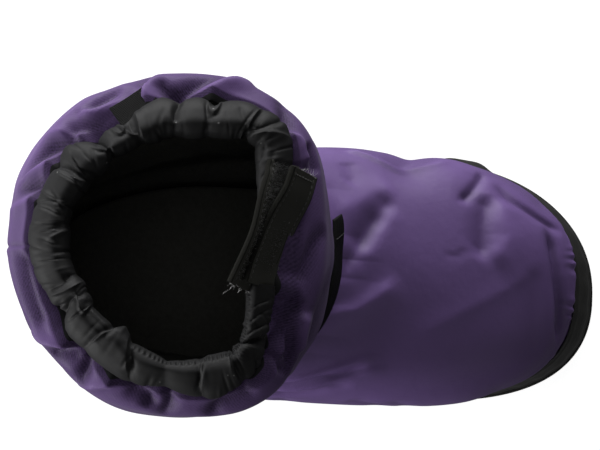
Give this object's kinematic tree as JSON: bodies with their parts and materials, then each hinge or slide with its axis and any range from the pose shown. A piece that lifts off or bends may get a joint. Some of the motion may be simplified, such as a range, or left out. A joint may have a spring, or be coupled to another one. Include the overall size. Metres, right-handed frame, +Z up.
{
  "type": "dance warm-up boot",
  "caption": "Padded ankle boot with a gathered collar, front closing tabs, an ankle strap, a rand and a thin rubber sole, which keeps a dancer's foot warm.",
  "frame": {"origin": "middle of the boot's box, on the floor that it stands on", "axes": "+X to the toe, +Y to the outer (lateral) side, +Z up"},
  "size_m": [0.2686, 0.1394, 0.2039],
  "materials": {
    "purple_nylon": "padded nylon with a satin sheen",
    "black_casing": "gathered nylon, soft sheen",
    "black_coated": "coated fabric, low sheen",
    "black_rubber": "matt rubber",
    "black_webbing": "matt woven tape",
    "black_fleece": "matt fleece"
  },
  "bodies": {
    "root": {"outsole": "black_rubber", "insole": "black_fleece", "upper": "purple_nylon", "rand": "black_coated", "collar_casing": "black_casing", "hook_tab": "black_webbing", "loop_tab": "black_webbing", "ankle_strap": "black_webbing", "side_label": "black_webbing"}
  },
  "joints": []
}
